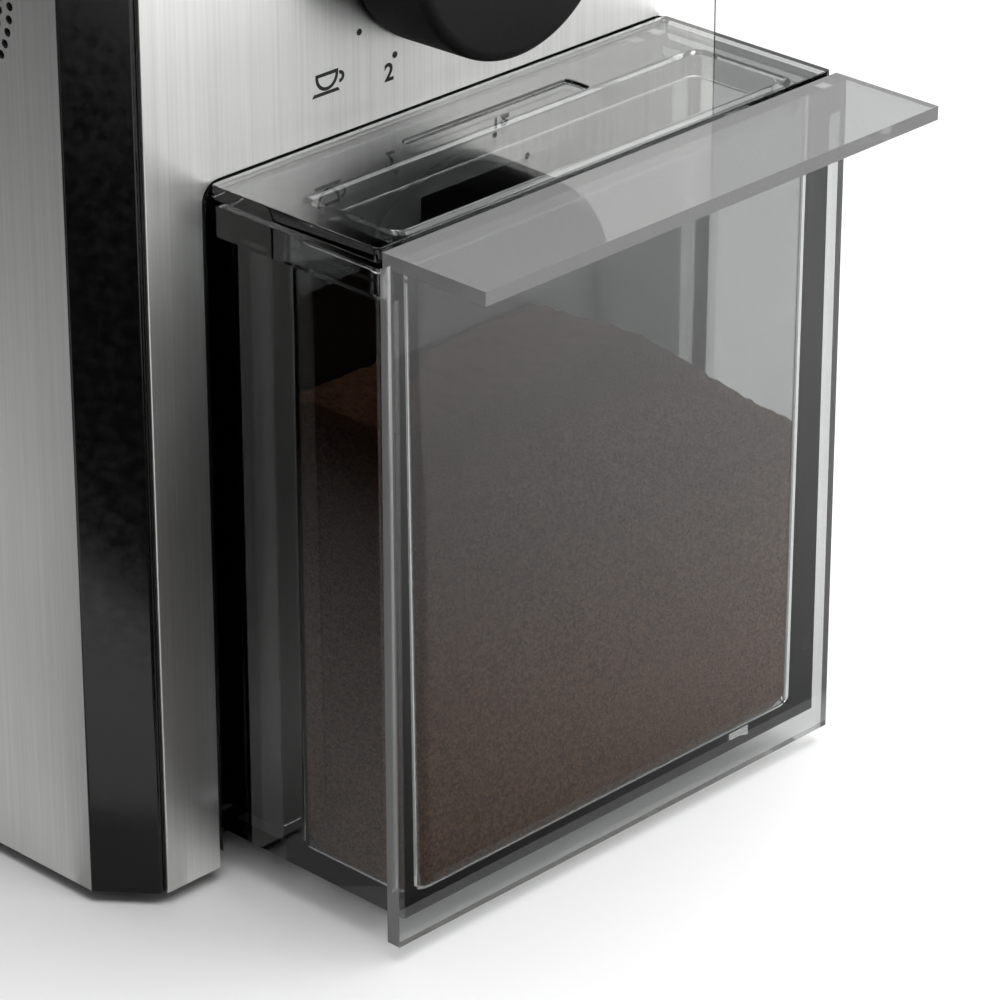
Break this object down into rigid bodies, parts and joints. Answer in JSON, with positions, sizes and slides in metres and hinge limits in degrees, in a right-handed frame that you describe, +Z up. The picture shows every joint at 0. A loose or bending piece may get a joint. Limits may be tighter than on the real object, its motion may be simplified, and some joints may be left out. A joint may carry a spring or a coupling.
{
  "type": "burr coffee grinder",
  "caption": "Box-shaped electric burr coffee grinder with brushed steel panels, a clear slide-out grounds container, a quantity dial and a clear bean hopper.",
  "frame": {"origin": "middle of the overall footprint, on the surface the feet stand on", "axes": "+Z up through the hopper, -Y out of the front panel towards the user, +X to the right seen from the front"},
  "size_m": [0.13, 0.213, 0.26],
  "materials": {
    "side_steel": "stainless sheet brushed top to bottom, satin",
    "front_steel": "stainless sheet brushed top to bottom, satin",
    "corner_plastic": "black moulded plastic with a soft gloss",
    "bay_plastic": "black moulded plastic, smooth",
    "casing_plastic": "black moulded plastic, fine matte texture",
    "knob_plastic": "black moulded plastic, fine matte texture",
    "rubber": "black soft rubber",
    "clear_plastic": "clear polished styrene-acrylic with bright edges",
    "smoked_plastic": "smoke-tinted clear plastic, polished",
    "screw_steel": "zinc-plated steel",
    "motor_steel": "plated steel can and laminations",
    "inner_plastic": "dark grey glass-filled plastic",
    "burr_steel": "hardened steel, ground faces",
    "bush_brass": "sintered bronze and machined brass",
    "gear_nylon": "natural white nylon",
    "board_laminate": "green glass-epoxy circuit board"
  },
  "bodies": {
    "housing": {"base_plate": "casing_plastic", "foot_front_left": "rubber", "foot_front_right": "rubber", "foot_rear_left": "rubber", "foot_rear_right": "rubber", "side_panel_left": "side_steel", "side_panel_right": "side_steel", "front_panel": "front_steel", "corner_post_left": "corner_plastic", "corner_post_right": "corner_plastic", "bay_housing": "bay_plastic", "rear_cover": "casing_plastic", "top_deck": "casing_plastic", "cover_screw_left": "screw_steel", "cover_screw_right": "screw_steel", "cord_gland": "rubber", "chassis": "inner_plastic", "base_screw_front_left": "screw_steel", "base_screw_front_right": "screw_steel", "base_screw_rear_left": "screw_steel", "base_screw_rear_right": "screw_steel", "motor_can": "motor_steel", "motor_end_bell": "inner_plastic", "motor_screw_left": "screw_steel", "motor_screw_right": "screw_steel", "shaft_bush_lower": "bush_brass", "shaft_bush_upper": "bush_brass", "gear_cover": "inner_plastic", "grinding_chamber": "inner_plastic", "chamber_cap": "inner_plastic", "coffee_chute": "inner_plastic", "control_board": "board_laminate", "quantity_switch": "screw_steel", "start_switch": "inner_plastic", "power_board": "board_laminate"},
    "motor_rotor": {"motor_shaft": "screw_steel", "motor_armature": "motor_steel", "motor_fan": "inner_plastic", "motor_pinion": "bush_brass"},
    "burr_drive": {"main_gear": "gear_nylon", "burr_shaft": "screw_steel", "lower_burr_carrier": "inner_plastic", "lower_burr": "burr_steel", "burr_screw_1": "screw_steel", "burr_screw_2": "screw_steel", "burr_screw_3": "screw_steel", "burr_nut": "screw_steel"},
    "adjuster": {"adjusting_ring": "inner_plastic", "upper_burr": "burr_steel"},
    "grind_selector": {"grind_knob": "knob_plastic", "grind_pinion": "gear_nylon"},
    "dial": {"quantity_dial": "knob_plastic", "dial_spindle": "screw_steel"},
    "button": {"start_button": "knob_plastic"},
    "bean_hopper": {"hopper": "smoked_plastic"},
    "hopper_cover": {"hopper_lid": "smoked_plastic", "hopper_lid_grip": "casing_plastic"},
    "container": {"container_box": "clear_plastic", "container_front_plate": "clear_plastic"},
    "container_cover": {"container_lid": "clear_plastic"}
  },
  "joints": [
    {"name": "container_slide", "type": "slide", "parent": "housing", "child": "container", "axis": [0, -1, 0], "range_m": [0, 0.12]},
    {"name": "container_lid_lift", "type": "slide", "parent": "container", "child": "container_cover", "axis": [0, 0, 1], "range_m": [0, 0.008]},
    {"name": "hopper_lift", "type": "slide", "parent": "housing", "child": "bean_hopper", "axis": [0, 0, 1], "range_m": [0, 0.06]},
    {"name": "hopper_lid_lift", "type": "slide", "parent": "bean_hopper", "child": "hopper_cover", "axis": [0, 0, 1], "range_m": [0, 0.06]},
    {"name": "quantity_dial_turn", "type": "hinge", "parent": "housing", "child": "dial", "pos_m": [0, -0.0535, 0.1389], "axis": [0, -1, 0], "range_deg": [-153.8, 153.8]},
    {"name": "start_button_press", "type": "slide", "parent": "housing", "child": "button", "axis": [0, 1, 0], "range_m": [0, 0.0015], "stiffness_N_per_m": 300},
    {"name": "grind_ring_turn", "type": "hinge", "parent": "housing", "child": "adjuster", "pos_m": [0, 0.0085, 0.17], "axis": [0, 0, 1], "range_deg": [-56.25, 56.25]},
    {"name": "grind_knob_turn", "type": "hinge", "parent": "housing", "child": "grind_selector", "pos_m": [0, 0.0765, 0.17], "axis": [0, 0, 1], "range_deg": [-135, 135]},
    {"name": "burr_spin", "type": "hinge", "parent": "housing", "child": "burr_drive", "pos_m": [0, 0.0085, 0.132], "axis": [0, 0, 1], "continuous": true},
    {"name": "motor_spin", "type": "hinge", "parent": "housing", "child": "motor_rotor", "pos_m": [0, 0.0485, 0.062], "axis": [0, 0, 1], "continuous": true}
  ],
  "couplings": [
    {"joint": "motor_spin", "follows": "burr_spin", "ratio": -5.6667},
    {"joint": "grind_knob_turn", "follows": "grind_ring_turn", "ratio": -2.4}
  ]
}
